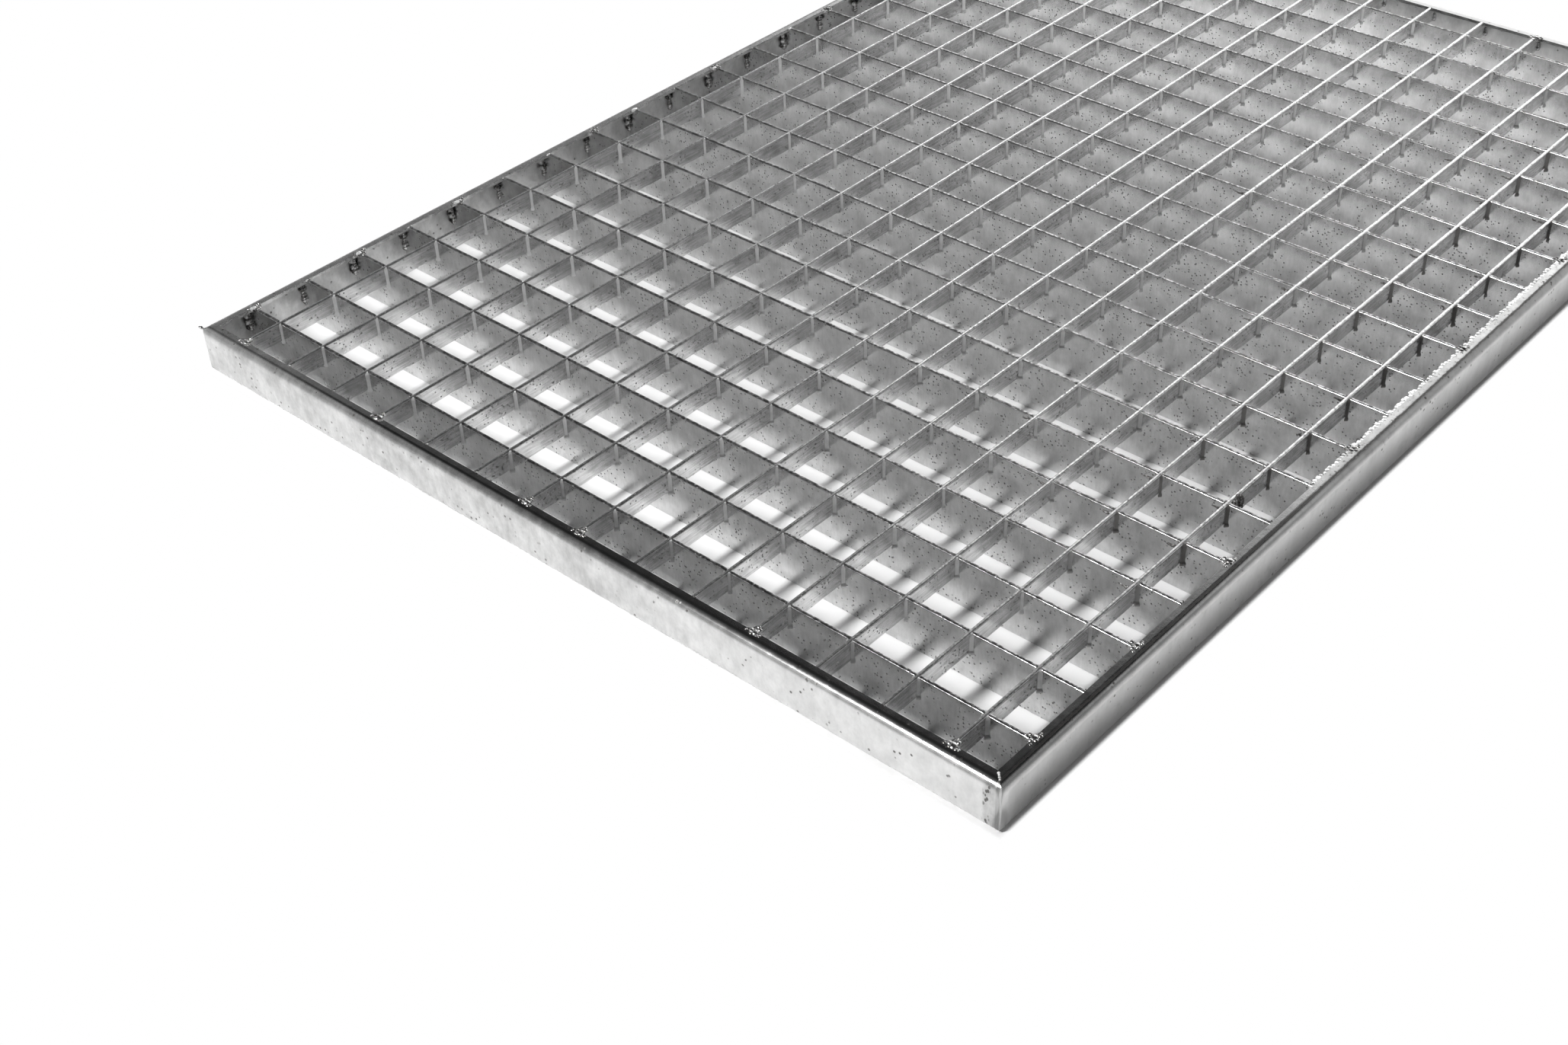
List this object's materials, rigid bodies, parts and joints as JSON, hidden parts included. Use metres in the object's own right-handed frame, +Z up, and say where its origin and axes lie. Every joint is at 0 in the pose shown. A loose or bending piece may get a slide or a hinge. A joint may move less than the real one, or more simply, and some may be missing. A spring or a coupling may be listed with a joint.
{
  "type": "galvanised grating",
  "caption": "Flat galvanised steel grating panel: deep slotted bearing bars, shallow pressed-in cross bars and a rolled, mitred channel edging all round.",
  "frame": {"origin": "middle of the underside, at the level that it lies on", "axes": "+X across the width along the bearing bars, +Y along the length along the cross bars, +Z up out of the walked-on face"},
  "size_m": [0.49, 0.69, 0.025],
  "materials": {
    "bearing_bars": "hot-dip galvanised, dull grey with faint drawn streaks",
    "cross_bars": "hot-dip galvanised, dull grey with a bright top edge",
    "edging": "hot-dip galvanised, mottled light grey with small dark pits",
    "welds": "weld metal under zinc, shiny and lumpy"
  },
  "bodies": {
    "root": {"bearing_bar_01": "bearing_bars", "bearing_bar_02": "bearing_bars", "bearing_bar_03": "bearing_bars", "bearing_bar_04": "bearing_bars", "bearing_bar_05": "bearing_bars", "bearing_bar_06": "bearing_bars", "bearing_bar_07": "bearing_bars", "bearing_bar_08": "bearing_bars", "bearing_bar_09": "bearing_bars", "bearing_bar_10": "bearing_bars", "bearing_bar_11": "bearing_bars", "bearing_bar_12": "bearing_bars", "bearing_bar_13": "bearing_bars", "bearing_bar_14": "bearing_bars", "bearing_bar_15": "bearing_bars", "bearing_bar_16": "bearing_bars", "bearing_bar_17": "bearing_bars", "bearing_bar_18": "bearing_bars", "bearing_bar_19": "bearing_bars", "bearing_bar_20": "bearing_bars", "cross_bar_01": "cross_bars", "cross_bar_02": "cross_bars", "cross_bar_03": "cross_bars", "cross_bar_04": "cross_bars", "cross_bar_05": "cross_bars", "cross_bar_06": "cross_bars", "cross_bar_07": "cross_bars", "cross_bar_08": "cross_bars", "cross_bar_09": "cross_bars", "cross_bar_10": "cross_bars", "cross_bar_11": "cross_bars", "cross_bar_12": "cross_bars", "cross_bar_13": "cross_bars", "cross_bar_14": "cross_bars", "edging_front": "edging", "edging_rear": "edging", "edging_left": "edging", "edging_right": "edging", "end_welds_front": "welds", "end_welds_rear": "welds", "end_welds_left": "welds", "end_welds_right": "welds", "lip_fillets_front": "welds", "lip_fillets_rear": "welds", "lip_fillets_left": "welds", "lip_fillets_right": "welds", "corner_welds": "welds"}
  },
  "joints": []
}
